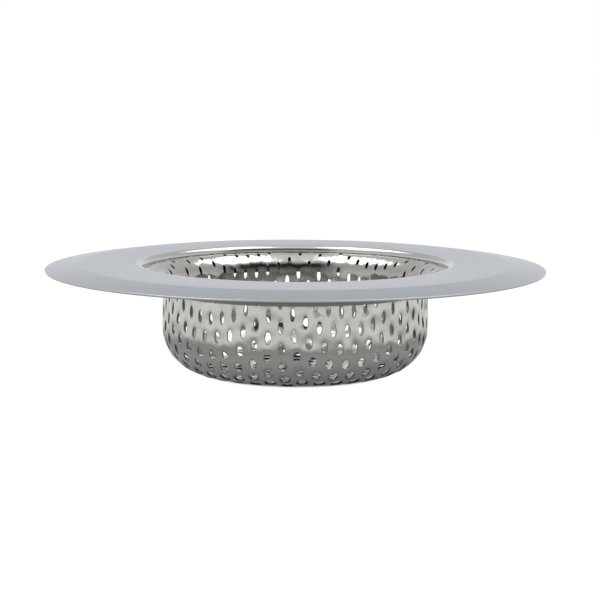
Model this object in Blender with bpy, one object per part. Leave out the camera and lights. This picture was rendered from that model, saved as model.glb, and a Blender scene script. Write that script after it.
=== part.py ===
"""Basket strainer: a perforated deep-drawn cup held between a pressed rim plate and a backing ring.

The three pieces are turned about Z. The cup stands on z = 0 and the rim's flat top is the highest face.
"""

import math

import bmesh
import bpy
from mathutils import Matrix, Vector
from mathutils.geometry import delaunay_2d_cdt

MM = 0.001
SEGMENTS = 72
ARC_STEPS = 4
CLEARANCE = 0.3 * MM

# Rim plate: a flat ring, a slightly dished outer band with a hemmed edge, and a lip rolled into the cup.
RIM_RADIUS = 55.5 * MM
RIM_FOLD_RADIUS = 47.7 * MM
RIM_FOLD_RISE = 1.2 * MM
RIM_SHEET = 0.4 * MM
RIM_HEM_LENGTH = 2.6 * MM
RIM_HEM_ROUND = 0.3 * MM
LIP_OUTER_RADIUS = 34.9 * MM
LIP_ROUND = 1.2 * MM

# Cup: flat bottom, round corner, straight wall, and an out-turned flange under the rim's lip.
CUP_RADIUS = 29.7 * MM
CUP_CORNER = 10.5 * MM
CUP_SHEET = 0.4 * MM
CUP_FLANGE_ROUND = 3.8 * MM
CUP_FLANGE_RADIUS = 37.6 * MM
OVERALL_HEIGHT = 24.6 * MM

# Perforation of the flat blank that the cup is drawn from: round holes on a 60 degree lattice.
# Their centres keep a plain band below the neck, where the collar covers the sheet.
HOLE_DIAMETER = 2.0 * MM
HOLE_PITCH = 4.0 * MM
LATTICE_ANGLE = math.radians(-38.5)
LATTICE_OFFSET = Vector((1.37, -2.66)) * MM
HOLE_SIDES = 4
PLAIN_BAND = 0.8 * MM
# 1 keeps every patch's area while the blank is drawn, and 0 keeps its length along the profile.
DRAW_EXPONENT = 0.62

# Backing ring: a collar round the cup's neck, a pocket for the cup's flange, and a seat under the rim.
RING_SHEET = 0.4 * MM
RING_COLLAR_DROP = 0.1 * MM
RING_POCKET_RADIUS = 38.3 * MM
RING_STEP_RADIUS = 40.0 * MM
RING_OUTER_RADIUS = 46.0 * MM

FLANGE_TOP = OVERALL_HEIGHT - LIP_ROUND - CLEARANCE
FLANGE_UNDERSIDE = FLANGE_TOP - CUP_SHEET
NECK_CENTRE = (CUP_RADIUS + CUP_FLANGE_ROUND, FLANGE_UNDERSIDE - CUP_FLANGE_ROUND)


def arc(centre, radius, start, end, steps):
    """Points on an arc in the (radius, height) plane, with both ends; the angles are in degrees."""
    points = []
    for step in range(steps + 1):
        angle = math.radians(start + (end - start) * step / steps)
        points.append((centre[0] + radius * math.cos(angle), centre[1] + radius * math.sin(angle)))
    return points


def material(name, colour, roughness):
    steel = bpy.data.materials.new(name)
    steel.use_nodes = True
    shader = steel.node_tree.nodes["Principled BSDF"]
    shader.inputs["Base Color"].default_value = (*colour, 1)
    shader.inputs["Roughness"].default_value = roughness
    shader.inputs["Metallic"].default_value = 1
    return steel


def add_object(name, mesh, steel, sharp_angle):
    mesh.materials.append(steel)
    mesh.shade_smooth()
    mesh.set_sharp_from_angle(angle=math.radians(sharp_angle))
    made = bpy.data.objects.new(name, mesh)
    bpy.context.scene.collection.objects.link(made)
    return made


def turned(name, outline):
    """A closed (radius, height) outline spun about Z into a solid ring."""
    shape = bmesh.new()
    corners = [shape.verts.new((radius, 0, height)) for radius, height in outline]
    edges = [shape.edges.new((corners[i - 1], corners[i])) for i in range(len(corners))]
    bmesh.ops.spin(
        shape,
        geom=corners + edges,
        axis=(0, 0, 1),
        angle=math.tau,
        steps=SEGMENTS,
        use_merge=True,
    )
    bmesh.ops.recalc_face_normals(shape, faces=shape.faces)
    mesh = bpy.data.meshes.new(name)
    shape.to_mesh(mesh)
    shape.free()
    return mesh


def make_rim():
    """Lip, flat ring and dished band in one sheet, doubled under itself along the outer edge."""
    top = OVERALL_HEIGHT
    slope = RIM_FOLD_RISE / (RIM_RADIUS - RIM_FOLD_RADIUS)
    tilt = math.degrees(math.atan(slope))
    lip_centre = (LIP_OUTER_RADIUS, top - LIP_ROUND)
    edge = (RIM_RADIUS - RIM_HEM_ROUND, top - RIM_FOLD_RISE - RIM_HEM_ROUND)
    hem_start = RIM_RADIUS - RIM_HEM_LENGTH
    hem_top = top - (hem_start - RIM_FOLD_RADIUS) * slope
    outline = arc(lip_centre, LIP_ROUND, 180, 90, ARC_STEPS)
    outline.append((RIM_FOLD_RADIUS, top))
    outline += arc(edge, RIM_HEM_ROUND, 90 - tilt, -90 - tilt, ARC_STEPS)
    outline.append((hem_start, hem_top - 2 * RIM_HEM_ROUND))
    outline.append((hem_start - RIM_HEM_ROUND, hem_top - RIM_SHEET))
    outline.append((RIM_FOLD_RADIUS, top - RIM_SHEET))
    outline += arc(lip_centre, LIP_ROUND - RIM_SHEET, 90, 180, ARC_STEPS)
    steel = material("satin_steel", (0.60, 0.61, 0.63), 0.34)
    return add_object("rim", turned("rim", outline), steel, 25)


def make_backing_ring():
    """The collar follows the cup's neck, then the sheet steps up to lie under the rim."""
    round_inside = CUP_FLANGE_ROUND - CLEARANCE
    round_outside = round_inside - RING_SHEET
    pocket_top = NECK_CENTRE[1] + round_inside
    seat_top = OVERALL_HEIGHT - RIM_SHEET - CLEARANCE
    outline = [(NECK_CENTRE[0] - round_inside, NECK_CENTRE[1] - RING_COLLAR_DROP)]
    outline += arc(NECK_CENTRE, round_inside, 180, 90, ARC_STEPS)
    outline.append((RING_POCKET_RADIUS, pocket_top))
    outline.append((RING_STEP_RADIUS, seat_top))
    outline.append((RING_OUTER_RADIUS, seat_top))
    outline.append((RING_OUTER_RADIUS, seat_top - RING_SHEET))
    outline.append((RING_STEP_RADIUS + RING_SHEET / 2, seat_top - RING_SHEET))
    outline.append((RING_POCKET_RADIUS + RING_SHEET / 2, pocket_top - RING_SHEET))
    outline += arc(NECK_CENTRE, round_outside, 90, 180, ARC_STEPS)
    outline.append((NECK_CENTRE[0] - round_outside, NECK_CENTRE[1] - RING_COLLAR_DROP))
    steel = material("ring_steel", (0.55, 0.55, 0.54), 0.30)
    return add_object("backing_ring", turned("backing_ring", outline), steel, 25)


class CupProfile:
    """The cup's outer surface by arc length from the bottom's centre, and the blank radius drawn to it."""

    STEPS = 1500

    def __init__(self):
        self.corner_start = CUP_RADIUS - CUP_CORNER
        self.wall_start = self.corner_start + CUP_CORNER * math.pi / 2
        self.neck_start = self.wall_start + NECK_CENTRE[1] - CUP_CORNER
        self.flange_start = self.neck_start + CUP_FLANGE_ROUND * math.pi / 2
        self.length = self.flange_start + CUP_FLANGE_RADIUS - NECK_CENTRE[0]
        self.step = self.length / self.STEPS
        power = 1 + DRAW_EXPONENT
        drawn = 0.0
        self.blank = [0.0]
        for index in range(self.STEPS):
            radius = self.place((index + 0.5) * self.step)[0]
            drawn += power * radius**DRAW_EXPONENT * self.step
            self.blank.append(drawn ** (1 / power))

    def place(self, length):
        """(radius, height, outward normal's radius and height) at an arc length."""
        if length <= self.corner_start:
            return length, 0.0, 0.0, -1.0
        if length <= self.wall_start:
            turn = (length - self.corner_start) / CUP_CORNER
            sine = math.sin(turn)
            cosine = math.cos(turn)
            return self.corner_start + CUP_CORNER * sine, CUP_CORNER * (1 - cosine), sine, -cosine
        if length <= self.neck_start:
            return CUP_RADIUS, CUP_CORNER + length - self.wall_start, 1.0, 0.0
        turn = min((length - self.neck_start) / CUP_FLANGE_ROUND, math.pi / 2)
        radius = NECK_CENTRE[0] - CUP_FLANGE_ROUND * math.cos(turn)
        height = NECK_CENTRE[1] + CUP_FLANGE_ROUND * math.sin(turn)
        beyond = max(0.0, length - self.flange_start)
        return radius + beyond, height, math.cos(turn), -math.sin(turn)

    def length_at(self, blank_radius):
        """The arc length that a radius of the flat blank is drawn to."""
        low = 0
        high = self.STEPS
        while high - low > 1:
            middle = (low + high) // 2
            if self.blank[middle] <= blank_radius:
                low = middle
            else:
                high = middle
        share = (blank_radius - self.blank[low]) / (self.blank[high] - self.blank[low])
        return (low + share) * self.step

    def blank_at(self, length):
        """The blank radius that is drawn to an arc length."""
        index = min(int(length / self.step), self.STEPS - 1)
        share = length / self.step - index
        return self.blank[index] + (self.blank[index + 1] - self.blank[index]) * share

    def draw(self, flat, depth):
        """A point of the flat blank moved to the cup, a depth inside its outer surface."""
        radius, height, out, up = self.place(self.length_at(flat.length))
        radius -= out * depth
        height -= up * depth
        direction = flat.normalized() if flat.length > 0 else Vector((1, 0))
        return Vector((direction.x * radius, direction.y * radius, height))


def hole_centres(limit):
    """Lattice points of the flat blank inside a radius."""
    across = Vector((HOLE_PITCH, 0))
    along = Vector((HOLE_PITCH / 2, HOLE_PITCH * math.sqrt(3) / 2))
    turn = Matrix.Rotation(LATTICE_ANGLE, 2)
    reach = math.ceil(limit / HOLE_PITCH * 2 / math.sqrt(3)) + 1
    centres = []
    for row in range(-reach, reach + 1):
        for column in range(-reach, reach + 1):
            point = turn @ (across * column + along * row) + LATTICE_OFFSET
            if point.length < limit:
                centres.append(point)
    return centres


def hole_corners(centre):
    """A hole as a square that stands on its corner along the blank's radius, as large as the round hole."""
    radius = HOLE_DIAMETER / 2 * math.sqrt(math.pi / 2)
    heading = math.atan2(centre.y, centre.x)
    corners = []
    for side in range(HOLE_SIDES):
        angle = heading + math.tau * side / HOLE_SIDES
        corners.append(centre + Vector((math.cos(angle), math.sin(angle))) * radius)
    return corners


def circle(radius):
    points = []
    for step in range(SEGMENTS):
        angle = math.tau * step / SEGMENTS
        points.append(Vector((math.cos(angle), math.sin(angle))) * radius)
    return points


def perforated_blank(profile):
    """The blank's points, its triangles between the holes, and the loops round the holes and its edge."""
    neck = profile.blank_at(profile.neck_start)
    points = []
    loops = []
    for centre in hole_centres(neck - PLAIN_BAND):
        loops.append(list(range(len(points), len(points) + HOLE_SIDES)))
        points += hole_corners(centre)
    hole_count = len(loops)
    rings = []
    neck_length = profile.flange_start - profile.neck_start
    for step in range(1, ARC_STEPS + 1):
        rings.append(profile.neck_start + neck_length * step / ARC_STEPS)
    rings.append(profile.length)
    for length in rings:
        loops.append(list(range(len(points), len(points) + SEGMENTS)))
        points += circle(profile.blank_at(length))
    edges = [(loop[i - 1], loop[i]) for loop in loops for i in range(len(loop))]
    flat, _, faces, _, _, _ = delaunay_2d_cdt(points, edges, [], 0, 1e-9, False)
    hole_of = {}
    for hole, loop in enumerate(loops[:hole_count]):
        for corner in loop:
            hole_of[corner] = hole
    kept = []
    for face in faces:
        touched = {hole_of.get(corner) for corner in face}
        if len(touched) > 1 or touched == {None}:
            kept.append(face)
    return flat, kept, loops[:hole_count] + [loops[-1]]


def make_basket():
    """The blank drawn to the cup twice, for its outer and inner skin, and closed round every hole."""
    profile = CupProfile()
    flat, faces, loops = perforated_blank(profile)
    shape = bmesh.new()
    outer = [shape.verts.new(profile.draw(point, 0)) for point in flat]
    inner = [shape.verts.new(profile.draw(point, CUP_SHEET)) for point in flat]
    for face in faces:
        shape.faces.new([outer[i] for i in face])
        shape.faces.new([inner[i] for i in reversed(face)])
    for loop in loops:
        for i in range(len(loop)):
            a = loop[i - 1]
            b = loop[i]
            shape.faces.new((outer[a], outer[b], inner[b], inner[a]))
    bmesh.ops.recalc_face_normals(shape, faces=shape.faces)
    mesh = bpy.data.meshes.new("basket")
    shape.to_mesh(mesh)
    shape.free()
    steel = material("bright_steel", (0.62, 0.62, 0.61), 0.22)
    return add_object("basket", mesh, steel, 35)


for old in list(bpy.data.objects):
    bpy.data.objects.remove(old)
make_rim()
make_backing_ring()
make_basket()
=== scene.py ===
import math

import bmesh
import bpy
import numpy as np
from mathutils import Euler, Matrix, Vector, noise


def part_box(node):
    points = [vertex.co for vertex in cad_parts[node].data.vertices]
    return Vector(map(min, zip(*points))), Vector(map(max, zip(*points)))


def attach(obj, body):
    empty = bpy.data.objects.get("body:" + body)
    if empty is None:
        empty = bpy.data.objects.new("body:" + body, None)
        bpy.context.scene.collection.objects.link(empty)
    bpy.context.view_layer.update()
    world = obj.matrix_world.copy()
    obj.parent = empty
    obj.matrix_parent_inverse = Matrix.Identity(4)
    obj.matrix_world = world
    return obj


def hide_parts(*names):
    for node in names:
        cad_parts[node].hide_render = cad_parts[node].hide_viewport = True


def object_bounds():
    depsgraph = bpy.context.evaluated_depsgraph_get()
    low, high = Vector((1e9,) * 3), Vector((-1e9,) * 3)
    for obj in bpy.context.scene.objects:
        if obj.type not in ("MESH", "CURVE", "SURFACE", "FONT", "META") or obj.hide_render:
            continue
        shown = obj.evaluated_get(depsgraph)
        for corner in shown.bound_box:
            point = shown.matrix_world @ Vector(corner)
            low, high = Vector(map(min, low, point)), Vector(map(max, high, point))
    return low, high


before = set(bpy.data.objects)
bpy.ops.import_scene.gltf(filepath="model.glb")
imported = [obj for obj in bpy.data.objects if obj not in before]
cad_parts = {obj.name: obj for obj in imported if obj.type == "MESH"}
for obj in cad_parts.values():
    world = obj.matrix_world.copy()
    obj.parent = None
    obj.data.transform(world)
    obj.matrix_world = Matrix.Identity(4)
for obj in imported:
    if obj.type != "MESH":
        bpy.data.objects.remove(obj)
cad_low, cad_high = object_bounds()

# ---------------------------------------------------------------------------------------------
# Camera: level with the rim and a little above it, far enough off for the cup's wall to stand
# nearly straight. It looks at the cup below the rim, and leans a quarter of a degree.
# ---------------------------------------------------------------------------------------------
CAMERA_ELEVATION = math.radians(6.81)
CAMERA_DISTANCE = 8 * cad_high.x
CAMERA_LENS = 119.7
CAMERA_TURN = Euler((math.radians(-0.96), math.radians(-0.13), math.radians(0.25)))
CAMERA_NEAREST = 0.01
AIM_DROP = 0.001

rim_centre = Vector((0, 0, cad_high.z - AIM_DROP))
backward = Vector((0, -math.cos(CAMERA_ELEVATION), math.sin(CAMERA_ELEVATION)))
camera = bpy.data.objects.new("camera", bpy.data.cameras.new("camera"))
camera.data.lens = CAMERA_LENS
camera.data.clip_start = CAMERA_NEAREST
camera.location = rim_centre + backward * CAMERA_DISTANCE
camera.rotation_euler = ((-backward).to_track_quat("-Z", "Y") @ CAMERA_TURN.to_quaternion()).to_euler()
bpy.context.scene.collection.objects.link(camera)
bpy.context.scene.camera = camera

# ---------------------------------------------------------------------------------------------
# Studio: a white floor that runs out into a white surround, with a painted shadow under the cup,
# and two soft boxes side by side overhead. Steel shows its surroundings, so the sky has a dark
# end behind the camera, and a card that only reflections see stands for the ground in the
# strainer's own shade.
# ---------------------------------------------------------------------------------------------
# Bands are (distance, brightness) pairs, or (upward share, brightness) for the sky.
SURROUND_RADIUS = 4.0
SURROUND_SEGMENTS = (64, 32)
SHEET_SEGMENTS = 96
FLOOR_GAP = 0.00005
FLOOR_GREY = 0.05
# The floor glows evenly white, except for a dark disc under the cup's bottom: a painted contact shadow.
FLOOR_GLOW_AND_PAINTED_SHADOW = ((0.0, 0.10), (0.0185, 0.15), (0.0210, 0.99), (0.06, 0.99))
GROUND_RADIUS = 2.0
GROUND_LIFT = 0.0001
GROUND_BANDS = (
    (0.0, 0.08),
    (0.019, 0.10),
    (0.024, 0.22),
    (0.034, 0.38),
    (0.050, 0.33),
    (0.085, 0.66),
    (0.13, 0.84),
    (0.5, 0.95),
)
GROUND_CENTRE = (0.002, 0, 0)
SKY_BANDS = ((0.0, 0.88), (0.12, 0.80), (0.34, 0.62), (0.60, 0.54), (0.85, 0.70), (1.0, 0.80))
DARK_END_TURN = math.radians(15)
DARK_END_WIDTH = (0.58, 0.78)
DARK_END_TOP = (0.88, 0.74)
DARK_END_FOOT = (0.30, 0.62, 0.5)
DARK_END_DEPTH = 0.93
SOFT_BOX_SIZE = (0.49, 0.8)
SOFT_BOX_PLACE = (0.375, 0.2, 0.8)
SOFT_BOX_POWER = 2.0


class Value:
    """A shader socket that adds Math nodes when it is used in arithmetic."""

    def __init__(self, finish, socket):
        self.finish = finish
        self.socket = socket

    def maths(self, operation, *inputs):
        return self.finish.node("ShaderNodeMath", {"operation": operation}, dict(enumerate(inputs))).out(0)

    def __add__(self, other):
        return self.maths("ADD", self, other)

    def __radd__(self, other):
        return self.maths("ADD", other, self)

    def __sub__(self, other):
        return self.maths("SUBTRACT", self, other)

    def __rsub__(self, other):
        return self.maths("SUBTRACT", other, self)

    def __mul__(self, other):
        return self.maths("MULTIPLY", self, other)

    def __rmul__(self, other):
        return self.maths("MULTIPLY", other, self)

    def __truediv__(self, other):
        return self.maths("DIVIDE", self, other)

    def __rtruediv__(self, other):
        return self.maths("DIVIDE", other, self)

    def root(self):
        return self.maths("SQRT", self)


class Node:
    """A shader node whose outputs come as values."""

    def __init__(self, finish, node):
        self.finish = finish
        self.node = node

    def out(self, name):
        return Value(self.finish, self.node.outputs[name])


class Finish:
    """A material or world that is put together from nodes."""

    def __init__(self, owner, shader):
        self.owner = owner
        owner.use_nodes = True
        self.tree = owner.node_tree
        self.shader = self.tree.nodes[shader]

    def feed(self, socket, value):
        if isinstance(value, Value):
            self.tree.links.new(value.socket, socket)
        else:
            socket.default_value = value

    def node(self, kind, settings=None, sockets=None, stops=()):
        made = self.tree.nodes.new(kind)
        for name, value in (settings or {}).items():
            setattr(made, name, value)
        while len(made.color_ramp.elements if stops else ()) < len(stops):
            made.color_ramp.elements.new(0.5)
        for i, (position, grey) in enumerate(stops):
            made.color_ramp.elements[i].position = position
            made.color_ramp.elements[i].color = (grey, grey, grey, 1)
        for name, value in (sockets or {}).items():
            self.feed(made.inputs[name], value)
        return Node(self, made)

    def set(self, **sockets):
        for name, value in sockets.items():
            self.feed(self.shader.inputs[name.replace("_", " ")], value)

    def coordinates(self, kind="Object"):
        return self.node("ShaderNodeTexCoord").out(kind)

    def split(self, vector):
        parts = self.node("ShaderNodeSeparateXYZ", {}, {"Vector": vector})
        return parts.out("X"), parts.out("Y"), parts.out("Z")

    def ease(self, value, start, end, low=0.0, high=1.0):
        """A smooth step of the value: low at start, high at end."""
        return self.node(
            "ShaderNodeMapRange",
            {"interpolation_type": "SMOOTHSTEP"},
            {"Value": value, "From Min": start, "From Max": end, "To Min": low, "To Max": high},
        ).out("Result")


def linked(name, data):
    made = bpy.data.objects.new(name, data)
    bpy.context.scene.collection.objects.link(made)
    return made


def mesh_of(shape, name):
    mesh = bpy.data.meshes.new(name)
    shape.to_mesh(mesh)
    shape.free()
    return mesh


def paper(name, grey, bands, centre=(0, 0, 0)):
    """Paper that glows by its distance from a centre; the bands are (distance, brightness) pairs."""
    finish = Finish(bpy.data.materials.new(name), "Principled BSDF")
    away = finish.node(
        "ShaderNodeVectorMath",
        {"operation": "DISTANCE"},
        {0: finish.coordinates(), 1: centre},
    ).out("Value")
    reach = bands[-1][0]
    glow = finish.node(
        "ShaderNodeValToRGB",
        {},
        {"Fac": away / reach},
        [(distance / reach, bright) for distance, bright in bands],
    ).out("Color")
    finish.set(
        Base_Color=(grey, grey, grey, 1),
        Roughness=1.0,
        Specular_IOR_Level=0.0,
        Emission_Color=glow,
        Emission_Strength=1.0,
    )
    return finish.owner


def round_sheet(name, radius, height):
    shape = bmesh.new()
    bmesh.ops.create_circle(shape, cap_ends=True, segments=SHEET_SEGMENTS, radius=radius)
    bmesh.ops.translate(shape, verts=shape.verts, vec=(0, 0, height))
    sheet = linked(name, mesh_of(shape, name))
    return sheet


floor = round_sheet("floor", SURROUND_RADIUS, -FLOOR_GAP)
floor.data.materials.append(paper("floor_paper", FLOOR_GREY, FLOOR_GLOW_AND_PAINTED_SHADOW))
floor.visible_glossy = False

ground = round_sheet("ground_shade", GROUND_RADIUS, GROUND_LIFT)
ground.data.materials.append(paper("ground_shade", 0.0, GROUND_BANDS, GROUND_CENTRE))
ground.visible_camera = False
ground.visible_diffuse = False
ground.visible_shadow = False
ground.visible_transmission = False

surround_shape = bmesh.new()
bmesh.ops.create_uvsphere(
    surround_shape,
    u_segments=SURROUND_SEGMENTS[0],
    v_segments=SURROUND_SEGMENTS[1],
    radius=SURROUND_RADIUS,
)
surround = linked("surround", mesh_of(surround_shape, "surround"))
surround.data.materials.append(paper("surround_paper", 0.0, ((0.0, 1.0), (SURROUND_RADIUS, 1.0))))
surround.visible_glossy = False
surround.visible_diffuse = False
surround.visible_shadow = False

sky = Finish(bpy.data.worlds.new("studio"), "Background")
bpy.context.scene.world = sky.owner
east, north, up = sky.split(sky.coordinates("Generated"))
level = (east * east + north * north).root()
towards_end = (east * math.sin(DARK_END_TURN) - north * math.cos(DARK_END_TURN)) / level
dark_end = sky.ease(towards_end, *DARK_END_WIDTH) * sky.ease(up, *DARK_END_TOP)
dark_end *= sky.ease(up, *DARK_END_FOOT)
bright = sky.node("ShaderNodeValToRGB", {}, {"Fac": up}, SKY_BANDS).out("Color")
sky.set(Color=bright, Strength=1 - dark_end * DARK_END_DEPTH)

for side in (-1, 1):
    soft_box = linked("soft_box", bpy.data.lights.new("soft_box", "AREA"))
    soft_box.data.shape = "RECTANGLE"
    soft_box.data.size, soft_box.data.size_y = SOFT_BOX_SIZE
    soft_box.data.energy = SOFT_BOX_POWER
    soft_box.location = (side * SOFT_BOX_PLACE[0], SOFT_BOX_PLACE[1], SOFT_BOX_PLACE[2])

bpy.context.scene.view_settings.view_transform = "Standard"

# ---------------------------------------------------------------------------------------------
# Rim plate: one stainless pressing. Its flat ring is satin, its outer band dips to a hemmed
# edge, and its inner lip is rolled down into the cup.
# ---------------------------------------------------------------------------------------------
SPIN_STEPS = 256
RIM_SHEET = 0.0004
RIM_EDGE_DROP = 0.00112
LIP_RADIUS = 0.0337
LIP_ROUND = 0.0014
LIP_REACH = 0.00146
FOLD_RADIUS = 0.0477
FOLD_ROUND = 0.003
HEM_LENGTH = 0.0026
HEM_THICKNESS = 0.00045
HEM_UNDERCUT = 0.00022
HEM_TOP_ROUND = 0.00014
HEM_LOW_ROUND = 0.00017
CUT_ROUND = 0.00008
ROUND_SEGMENTS = 8
TURNED_SHARP = math.radians(30)
RIM_STEEL = ((0.53, 0.572, 0.63, 1), (0.585, 0.627, 0.685, 1))
# The lip and the outer edge are painted in this lighter, warmer steel: a painted highlight.
PAINTED_HIGHLIGHT_STEEL = (0.66, 0.652, 0.635, 1)
EDGE_STEEL = (0.47, 0.465, 0.45, 1)
RIM_ROUGHNESS = 0.26
RIM_LINES = (9000.0, 3.0)
LIP_POLISH_AND_PAINTED_HIGHLIGHT = (LIP_RADIUS + LIP_ROUND * 1.6, LIP_RADIUS + LIP_ROUND * 0.4)
EDGE_PAINTED_HIGHLIGHT = (0.0010, 0.0003)
EDGE_PAINTED_HIGHLIGHT_SHARE = 0.6
CUT_BAND = 0.0006


def rounded_profile(corners):
    """A closed wire in the XZ plane through (radius, height, rounding) corners, rounded by bevels."""
    shape = bmesh.new()
    verts = [shape.verts.new((radius, 0, height)) for radius, height, _ in corners]
    for i in range(len(verts)):
        shape.edges.new((verts[i - 1], verts[i]))
    for i, (vert, corner) in enumerate(zip(verts, corners)):
        before = Vector(corners[i - 1][:2]) - Vector(corner[:2])
        after = Vector(corners[(i + 1) % len(corners)][:2]) - Vector(corner[:2])
        turn = math.pi - before.angle(after)
        bmesh.ops.bevel(
            shape,
            geom=[vert],
            offset=corner[2] * math.tan(turn / 2),
            offset_type="OFFSET",
            segments=ROUND_SEGMENTS,
            profile=0.5,
            affect="VERTICES",
            material=-1,
            clamp_overlap=False,
        )
    return shape


def turned(name, corners):
    """A ring spun about Z from its rounded profile, as an object."""
    shape = rounded_profile(corners)
    bmesh.ops.spin(
        shape,
        geom=shape.verts[:] + shape.edges[:],
        axis=(0, 0, 1),
        cent=(0, 0, 0),
        angle=math.tau,
        steps=SPIN_STEPS,
        use_merge=True,
    )
    bmesh.ops.remove_doubles(shape, verts=shape.verts, dist=1e-7)
    bmesh.ops.recalc_face_normals(shape, faces=shape.faces)
    mesh = mesh_of(shape, name)
    mesh.shade_smooth()
    mesh.set_sharp_from_angle(angle=TURNED_SHARP)
    return linked(name, mesh)


rim_top = cad_high.z
rim_radius = cad_high.x
band_fall = RIM_EDGE_DROP / (rim_radius - FOLD_RADIUS)
hem_start = rim_radius - HEM_LENGTH
hem_height = rim_top - (hem_start - FOLD_RADIUS) * band_fall
edge_height = rim_top - RIM_EDGE_DROP
rim = turned(
    "rim_plate",
    (
        (LIP_RADIUS, rim_top - LIP_REACH, CUT_ROUND),
        (LIP_RADIUS, rim_top, LIP_ROUND),
        (FOLD_RADIUS, rim_top, FOLD_ROUND),
        (rim_radius, edge_height, HEM_TOP_ROUND),
        (rim_radius - HEM_UNDERCUT, edge_height - HEM_THICKNESS, HEM_LOW_ROUND),
        (hem_start, hem_height - HEM_THICKNESS, CUT_ROUND),
        (hem_start, hem_height - RIM_SHEET, CUT_ROUND),
        (FOLD_RADIUS, rim_top - RIM_SHEET, FOLD_ROUND),
        (LIP_RADIUS + RIM_SHEET, rim_top - RIM_SHEET, LIP_ROUND - RIM_SHEET - CUT_ROUND),
        (LIP_RADIUS + RIM_SHEET, rim_top - LIP_REACH, CUT_ROUND),
    ),
)
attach(rim, "root")
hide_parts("rim")


class Steel(Finish):
    """A stainless finish: bare metal with its marks in colour, roughness and bump."""

    def __init__(self, name):
        super().__init__(bpy.data.materials.new(name), "Principled BSDF")
        self.set(Metallic=1.0)

    def noise(self, vector, scale, detail=2.0, roughness=0.5):
        return self.node(
            "ShaderNodeTexNoise",
            {},
            {"Vector": vector, "Scale": scale, "Detail": detail, "Roughness": roughness},
        ).out("Fac")

    def between(self, share, low, high):
        """A colour between two, mixed by the share."""
        return self.node("ShaderNodeMix", {"data_type": "RGBA"}, {"Factor": share, 6: low, 7: high}).out(2)

    def bump(self, height, distance):
        return self.node("ShaderNodeBump", {}, {"Height": height, "Distance": distance}).out("Normal")

    def axle_distance(self):
        x, y, _ = self.split(self.coordinates())
        return (x * x + y * y).root()

    def round_marks(self, across, along):
        """Noise drawn out round Z, as a turning or polishing wheel leaves it."""
        x, y, z = self.split(self.coordinates())
        vector = self.node(
            "ShaderNodeCombineXYZ",
            {},
            {
                "X": (x * x + y * y).root() * across,
                "Y": x.maths("ARCTAN2", y, x) * along,
                "Z": z * across,
            },
        ).out("Vector")
        return self.noise(vector, 1.0, 3.0, 0.65)


def satin_rim_steel():
    """Satin polish with fine marks round the ring and wiped smudges; the lip polished smoother, and the lip
    and outer edge painted lighter and warmer as a painted highlight.
    """
    steel = Steel("satin_rim_steel")
    lines = steel.round_marks(*RIM_LINES)
    cloud = steel.noise(steel.coordinates(), 60.0, 3.0)
    smudge = steel.noise(steel.coordinates(), 220.0, 4.0, 0.7)
    reach = steel.axle_distance()
    # The lip is polished smoother (lower roughness), and the lip and the outer edge get a painted highlight
    # in lighter, warmer steel.
    lip_polish_and_painted_highlight = steel.ease(reach, *LIP_POLISH_AND_PAINTED_HIGHLIGHT)
    start, end = (rim_radius - back for back in EDGE_PAINTED_HIGHLIGHT)
    edge_painted_highlight = steel.ease(reach, start, end, 0.0, EDGE_PAINTED_HIGHLIGHT_SHARE)
    _, _, height = steel.split(steel.coordinates())
    edge = steel.ease(reach, rim_radius - CUT_BAND, rim_radius - HEM_UNDERCUT)
    edge *= steel.ease(height, edge_height - HEM_TOP_ROUND, edge_height - 2 * HEM_TOP_ROUND)
    skin = steel.between(cloud * 0.6 + lines * 0.4, *RIM_STEEL)
    steel.set(
        Base_Color=steel.between(edge, steel.between(lip_polish_and_painted_highlight + edge_painted_highlight, skin, PAINTED_HIGHLIGHT_STEEL), EDGE_STEEL),
        Roughness=RIM_ROUGHNESS - 0.05 + lines * 0.05 + smudge * 0.05 - lip_polish_and_painted_highlight * 0.10 + edge * 0.25,
        Normal=steel.bump(lines, 0.000003),
    )
    return steel.owner


rim.data.materials.append(satin_rim_steel())

# ---------------------------------------------------------------------------------------------
# Backing ring: a second, plainer pressing under the rim. Its collar goes round the cup's neck,
# its pocket holds the cup's flange, and its outer part lies under the rim as the seat.
# ---------------------------------------------------------------------------------------------
ring_low, ring_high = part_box("backing_ring")
basket_low, basket_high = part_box("basket")
RING_SHEET = 0.0004
CUP_SHEET = 0.0004
CLEARANCE = 0.0003
COLLAR_RADIUS = 0.0300
COLLAR_ROUND = 0.0035
POCKET_RADIUS = 0.0383
STEP_RADIUS = 0.0400
STEP_ROUND = 0.0006
# The ring's steel is painted very dark: painted shade for the collar under the rim.
RING_PAINTED_SHADE_STEEL = ((0.19, 0.187, 0.176, 1), (0.25, 0.247, 0.235, 1))

seat_top = ring_high.z
pocket_top = basket_high.z - CUP_SHEET - CLEARANCE
ring = turned(
    "backing_ring_plate",
    (
        (COLLAR_RADIUS, ring_low.z, CUT_ROUND),
        (COLLAR_RADIUS, pocket_top, COLLAR_ROUND),
        (POCKET_RADIUS, pocket_top, STEP_ROUND),
        (STEP_RADIUS, seat_top, STEP_ROUND),
        (ring_high.x, seat_top, CUT_ROUND),
        (ring_high.x, seat_top - RING_SHEET, CUT_ROUND),
        (STEP_RADIUS + RING_SHEET / 2, seat_top - RING_SHEET, STEP_ROUND),
        (POCKET_RADIUS + RING_SHEET / 2, pocket_top - RING_SHEET, STEP_ROUND),
        (COLLAR_RADIUS + RING_SHEET, pocket_top - RING_SHEET, COLLAR_ROUND - RING_SHEET),
        (COLLAR_RADIUS + RING_SHEET, ring_low.z, CUT_ROUND),
    ),
)
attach(ring, "root")
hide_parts("backing_ring")


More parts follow.
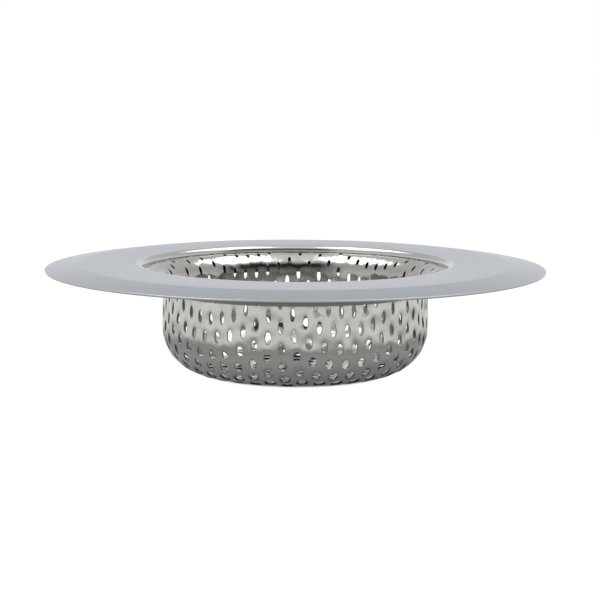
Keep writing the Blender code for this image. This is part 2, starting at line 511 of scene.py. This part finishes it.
def mill_ring_steel():
    """Plain mill finish, unpolished: duller, with a faint grain and a grey stain in patches, on steel
    painted very dark as painted shade under the rim.
    """
    steel = Steel("mill_ring_steel")
    grain = steel.noise(steel.coordinates(), 2600.0, 3.0, 0.6)
    stain = steel.noise(steel.coordinates(), 90.0, 4.0, 0.6)
    steel.set(
        Base_Color=steel.between(stain * 0.8 + grain * 0.2, *RING_PAINTED_SHADE_STEEL),
        Roughness=0.28 + grain * 0.08 + stain * 0.06,
        Normal=steel.bump(grain, 0.000004),
    )
    return steel.owner


ring.data.materials.append(mill_ring_steel())

# ---------------------------------------------------------------------------------------------
# Basket: a flat stainless blank, punched with round holes on a 60 degree lattice, then deep
# drawn. The punching is done flat, and the drawing carries every point of it to the cup.
# ---------------------------------------------------------------------------------------------
HOLE_PITCH = 0.004
HOLE_RADIUS = 0.001
HOLE_CORNER = 0.00121
LATTICE_ANGLE = math.radians(-38.5)
LATTICE_OFFSET = Vector((0.00137, -0.00266, 0))
LATTICE_ROWS = 36
CUP_RADIUS = 0.0297
CUP_CORNER = 0.0105
CUP_SHARP = math.radians(50)
CUP_FLANGE_ROUND = 0.0038
DRAW_EXPONENT = 0.62
EDGE_CUTS = 96
PROFILE_STEPS = 4000

neck_centre = (CUP_RADIUS + CUP_FLANGE_ROUND, basket_high.z - CUP_SHEET - CUP_FLANGE_ROUND)
flat_end = CUP_RADIUS - CUP_CORNER
corner_end = flat_end + CUP_CORNER * math.pi / 2
wall_end = corner_end + neck_centre[1] - CUP_CORNER
neck_end = wall_end + CUP_FLANGE_ROUND * math.pi / 2
profile_end = neck_end + basket_high.x - neck_centre[0]

# The cup's outer surface by its length from the bottom's centre, and the blank radius drawn to it.
length = np.linspace(0, profile_end, PROFILE_STEPS)
corner_turn = np.clip((length - flat_end) / CUP_CORNER, 0, math.pi / 2)
neck_turn = np.clip((length - wall_end) / CUP_FLANGE_ROUND, 0, math.pi / 2)
profile_radius = (
    np.minimum(length, flat_end)
    + CUP_CORNER * np.sin(corner_turn)
    + CUP_FLANGE_ROUND * (1 - np.cos(neck_turn))
    + np.maximum(length - neck_end, 0)
)
profile_height = (
    CUP_CORNER * (1 - np.cos(corner_turn))
    + np.clip(length - corner_end, 0, wall_end - corner_end)
    + CUP_FLANGE_ROUND * np.sin(neck_turn)
)
profile_tilt = corner_turn - neck_turn
drawn = np.cumsum(profile_radius**DRAW_EXPONENT) * (length[1] - length[0])
blank_radius = (drawn * (1 + DRAW_EXPONENT)) ** (1 / (1 + DRAW_EXPONENT))
blank_radius -= blank_radius[0]


def punched_blank():
    """The flat sheet: a triangular lattice whose every point is opened into a hole by a vertex bevel."""
    shear = Matrix(((1, 0.5, 0, 0), (0, math.sqrt(3) / 2, 0, 0), (0, 0, 1, 0), (0, 0, 0, 1)))
    laid = Matrix.Translation(LATTICE_OFFSET) @ Matrix.Rotation(LATTICE_ANGLE, 4, "Z") @ shear
    shape = bmesh.new()
    bmesh.ops.create_grid(
        shape,
        x_segments=LATTICE_ROWS,
        y_segments=LATTICE_ROWS,
        size=LATTICE_ROWS * HOLE_PITCH / 2,
        matrix=laid,
    )
    bmesh.ops.triangulate(shape, faces=shape.faces, quad_method="SHORT_EDGE")
    reach = blank_radius[-1] + HOLE_PITCH
    outside = [vert for vert in shape.verts if vert.co.length > reach]
    bmesh.ops.delete(shape, geom=outside, context="VERTS")
    opened = bmesh.ops.bevel(
        shape,
        geom=shape.verts[:],
        offset=HOLE_CORNER,
        offset_type="OFFSET",
        segments=1,
        profile=0.5,
        affect="VERTICES",
        material=-1,
        clamp_overlap=False,
    )
    bmesh.ops.delete(shape, geom=opened["faces"], context="FACES")
    for cut in range(EDGE_CUTS):
        angle = math.tau * cut / EDGE_CUTS
        out = Vector((math.cos(angle), math.sin(angle), 0))
        bmesh.ops.bisect_plane(
            shape,
            geom=shape.verts[:] + shape.edges[:] + shape.faces[:],
            dist=1e-7,
            plane_co=out * blank_radius[-1],
            plane_no=out,
            clear_outer=True,
        )
    bmesh.ops.recalc_face_normals(shape, faces=shape.faces)
    return mesh_of(shape, "blank")


def thickened(flat_sheet):
    """The sheet with smooth holes and its wall, as a new mesh."""
    blank = linked("blank", flat_sheet)
    smoothing = blank.modifiers.new("smoothing", "SUBSURF")
    smoothing.levels = 2
    smoothing.render_levels = 2
    wall = blank.modifiers.new("wall", "SOLIDIFY")
    wall.thickness = CUP_SHEET
    wall.offset = -1
    graph = bpy.context.evaluated_depsgraph_get()
    mesh = bpy.data.meshes.new_from_object(blank.evaluated_get(graph))
    bpy.data.objects.remove(blank)
    return mesh


def nearest_holes(points):
    """Each flat point's nearest hole centre and its distance, from the lattice's own two directions."""
    angles = np.array((LATTICE_ANGLE, LATTICE_ANGLE + math.pi / 3))
    directions = HOLE_PITCH * np.stack((np.cos(angles), np.sin(angles)), axis=1)
    origin = np.array(LATTICE_OFFSET[:2])
    steps = (points - origin) @ np.linalg.inv(directions)
    centres = np.zeros_like(points)
    distances = np.full(len(points), np.inf)
    for corner in ((0, 0), (0, 1), (1, 0), (1, 1)):
        candidate = (np.floor(steps) + corner) @ directions + origin
        away = np.linalg.norm(points - candidate, axis=1)
        closer = away < distances
        centres[closer] = candidate[closer]
        distances[closer] = away[closer]
    return centres, distances


# Drawing stretches each hole up the wall more than the sheet between the holes, and narrows it.
# The neck is bent back over the die, which presses its holes nearly shut.
HOLE_STRETCH = 0.9
HOLE_NARROWING = 1.2
NECK_SHUTTING = 0.78
NECK_SHUTTING_START = 0.0015
NECK_SHUTTING_CURVE = 0.6
NECK_PINCH = 0.3


def stretched(points, centres, distances):
    """Flat points with each hole stretched outwards and narrowed as the draw there does it."""
    centre_radius = np.linalg.norm(centres, axis=1)
    outward = centres / np.maximum(centre_radius, 1e-9)[:, None]
    sideways = np.stack((-outward[:, 1], outward[:, 0]), axis=1)
    centre_length = np.interp(centre_radius, blank_radius, length)
    drawn_radius = np.interp(centre_length, length, profile_radius)
    squeeze = np.clip(drawn_radius / np.maximum(centre_radius, 1e-9), 0.1, 1)
    start = wall_end - NECK_SHUTTING_START
    bend = np.clip((centre_length - start) / (neck_end - start), 0, 1)
    shut = NECK_SHUTTING * bend**NECK_SHUTTING_CURVE
    taper = np.clip((HOLE_PITCH / 2 - distances) / (HOLE_PITCH / 2 - HOLE_RADIUS), 0, 1)
    offset = points - centres
    lengthening = squeeze ** (-DRAW_EXPONENT * HOLE_STRETCH) * (1 - shut)
    narrowing = squeeze**HOLE_NARROWING * (1 - shut * NECK_PINCH)
    along = (offset * outward).sum(1) * (1 + (lengthening - 1) * taper)
    across = (offset * sideways).sum(1) * (1 + (narrowing - 1) * taper)
    return centres + outward * along[:, None] + sideways * across[:, None]


# Punching leaves the sheet rolled in round each hole, most on its outer face. Drawing over the
# die pulls the roll towards the rim, so a hole's upper edge sits deeper than its lower one.
ROLL_DEPTHS = (0.00034, 0.00006)
ROLL_WIDTHS = (0.00050, 0.00028)
ROLL_LEAN = 0.7
BURR_SHARE = 0.45


def pressed(depths, points, centres, distances):
    """Depths below the sheet's outer face with the roll-in added."""
    centre_radius = np.linalg.norm(centres, axis=1)
    outward = centres / np.maximum(centre_radius, 1e-9)[:, None]
    lean = ((points - centres) * outward).sum(1) / np.maximum(distances, 1e-9)
    ends = np.interp((flat_end, corner_end), length, blank_radius)
    depth = np.interp(centre_radius, ends, ROLL_DEPTHS)
    width = np.interp(centre_radius, ends, ROLL_WIDTHS)
    roll = depth * (1 + ROLL_LEAN * lean) * np.exp(-(((distances - HOLE_RADIUS) / width) ** 2))
    share = 1 - (1 - BURR_SHARE) * np.clip(depths / CUP_SHEET, 0, 1)
    return depths + roll * share


def deep_drawn(flat, depths):
    """Flat points carried to the cup, each a depth inside its outer surface."""
    flat_radius = np.linalg.norm(flat, axis=1)
    along = np.interp(flat_radius, blank_radius, length)
    tilt = np.interp(along, length, profile_tilt)
    radius = np.interp(along, length, profile_radius) - np.sin(tilt) * depths
    heading = flat / np.maximum(flat_radius, 1e-9)[:, None]
    height = np.interp(along, length, profile_height) + np.cos(tilt) * depths
    return np.column_stack((heading * radius[:, None], height))


# Drawing leaves shallow ripples in the sheet, deepest below the neck. They only press inwards.
RIPPLE_SCALE = 330
RIPPLE_HEIGHTS = (0.006, 0.018, 0.0215)
RIPPLE_DEPTHS = (0.00020, 0.00048, 0.00005)


def rippled(flat):
    """How deep the ripples press each flat point in."""
    skin = deep_drawn(flat, np.zeros(len(flat)))
    waves = np.array([noise.noise(Vector(point) * RIPPLE_SCALE) for point in skin])
    return np.interp(skin[:, 2], RIPPLE_HEIGHTS, RIPPLE_DEPTHS) * (0.5 + 0.5 * waves)


basket_mesh = thickened(punched_blank())
sheet = np.empty(len(basket_mesh.vertices) * 3)
basket_mesh.vertices.foreach_get("co", sheet)
sheet = sheet.reshape(-1, 3)
hole_centres, hole_distances = nearest_holes(sheet[:, :2])
stretched_sheet = stretched(sheet[:, :2], hole_centres, hole_distances)
pressed_depths = pressed(-sheet[:, 2], sheet[:, :2], hole_centres, hole_distances)
cup = deep_drawn(stretched_sheet, pressed_depths + rippled(stretched_sheet))
basket_mesh.vertices.foreach_set("co", cup.ravel())
basket_mesh.update()
from_hole = basket_mesh.attributes.new("from_hole", "FLOAT", "POINT")
from_hole.data.foreach_set("value", hole_distances.astype(np.float32) / HOLE_PITCH)
sheet_depth = basket_mesh.attributes.new("sheet_depth", "FLOAT", "POINT")
sheet_depth.data.foreach_set("value", -sheet[:, 2].astype(np.float32) / CUP_SHEET)

shape = bmesh.new()
shape.from_mesh(basket_mesh)
bmesh.ops.recalc_face_normals(shape, faces=shape.faces)
shape.to_mesh(basket_mesh)
shape.free()
basket_mesh.shade_smooth()
basket_mesh.set_sharp_from_angle(angle=CUP_SHARP)
basket = linked("perforated_cup", basket_mesh)
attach(basket, "root")
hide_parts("basket")

# Painted shade darkens the inner face of the neck, most on one side, and thins out lower down.
# Painted shade also lies round the lowest holes, on every face but the upper one.
BASKET_STEEL = ((0.60, 0.592, 0.568, 1), (0.655, 0.648, 0.622, 1))
CUT_STEEL = (0.30, 0.295, 0.285, 1)
# The neck's inner face is painted in this dark steel: painted shade.
NECK_PAINTED_SHADE_STEEL = (0.27, 0.258, 0.24, 1)
NECK_PAINTED_SHADE_DEPTH = (1 / 3, 2 / 3)
NECK_PAINTED_SHADE_TOP = (0.0216, 0.0205)
NECK_PAINTED_SHADE_FADE = (0.0150, 0.0195, 0.25)
NECK_PAINTED_SHADE_TURN = math.radians(8)
NECK_PAINTED_SHADE_SIDE = (0.84, 0.94, 0.3)
BASKET_ROUGHNESS = 0.13
PUNCH_EDGE = (0.262, 0.285)
# Nearly black steel round the lowest holes: painted shade under the cup.
LOW_PAINTED_SHADE_STEEL = (0.03, 0.029, 0.027, 1)
LOW_PAINTED_SHADE_REACH = (0.37, 0.30)
LOW_PAINTED_SHADE_HEIGHT = (0.0040, 0.0014)
LOW_PAINTED_SHADE_SIDE = (0.5, 0.2)


def drawn_basket_steel():
    """Bright drawn sheet: faint draw lines, dull cut edges, painted shade inside the neck and round the
    lowest holes.
    """
    steel = Steel("drawn_basket_steel")
    x, y, z = steel.split(steel.coordinates())
    turn = x.maths("ARCTAN2", y, x)
    drag = steel.node("ShaderNodeCombineXYZ", {}, {"X": turn * 420.0, "Z": z * 300.0}).out("Vector")
    draw_lines = steel.noise(drag, 1.0, 3.0, 0.6)
    grain = steel.noise(steel.coordinates(), 4200.0, 2.0, 0.6)
    hole_gap = steel.node("ShaderNodeAttribute", {"attribute_name": "from_hole"}).out("Fac")
    cut = steel.ease(hole_gap, *reversed(PUNCH_EDGE))
    inside = steel.node("ShaderNodeAttribute", {"attribute_name": "sheet_depth"}).out("Fac")
    # Painted shade: the inner face of the neck darkened, most on the far side, fading lower down.
    neck_painted_shade = steel.ease(inside, *NECK_PAINTED_SHADE_DEPTH)
    neck_painted_shade *= steel.ease(z, *NECK_PAINTED_SHADE_TOP) * steel.ease(z, *NECK_PAINTED_SHADE_FADE) * (0.75 + 0.4 * draw_lines)
    side = (y * math.cos(NECK_PAINTED_SHADE_TURN) - x * math.sin(NECK_PAINTED_SHADE_TURN)) / steel.axle_distance()
    neck_painted_shade *= steel.ease(side, *NECK_PAINTED_SHADE_SIDE)
    shade_share = draw_lines * 0.7 + grain * 0.3
    _, _, facing_up = steel.split(steel.coordinates("Normal"))
    # Painted shade: nearly black round the lowest holes, on faces turned down or sideways.
    low_painted_shade = steel.ease(hole_gap, *LOW_PAINTED_SHADE_REACH) * steel.ease(z, *LOW_PAINTED_SHADE_HEIGHT)
    low_painted_shade *= steel.ease(facing_up, *LOW_PAINTED_SHADE_SIDE)
    steel.set(
        Base_Color=steel.between(
            low_painted_shade,
            steel.between(
                cut,
                steel.between(neck_painted_shade, steel.between(shade_share, *BASKET_STEEL), NECK_PAINTED_SHADE_STEEL),
                CUT_STEEL,
            ),
            LOW_PAINTED_SHADE_STEEL,
        ),
        Roughness=BASKET_ROUGHNESS - 0.02 + draw_lines * 0.05 + grain * 0.03 + cut * 0.16 + low_painted_shade * 0.2,
        Normal=steel.bump(draw_lines, 0.000004),
    )
    return steel.owner


basket.data.materials.append(drawn_basket_steel())
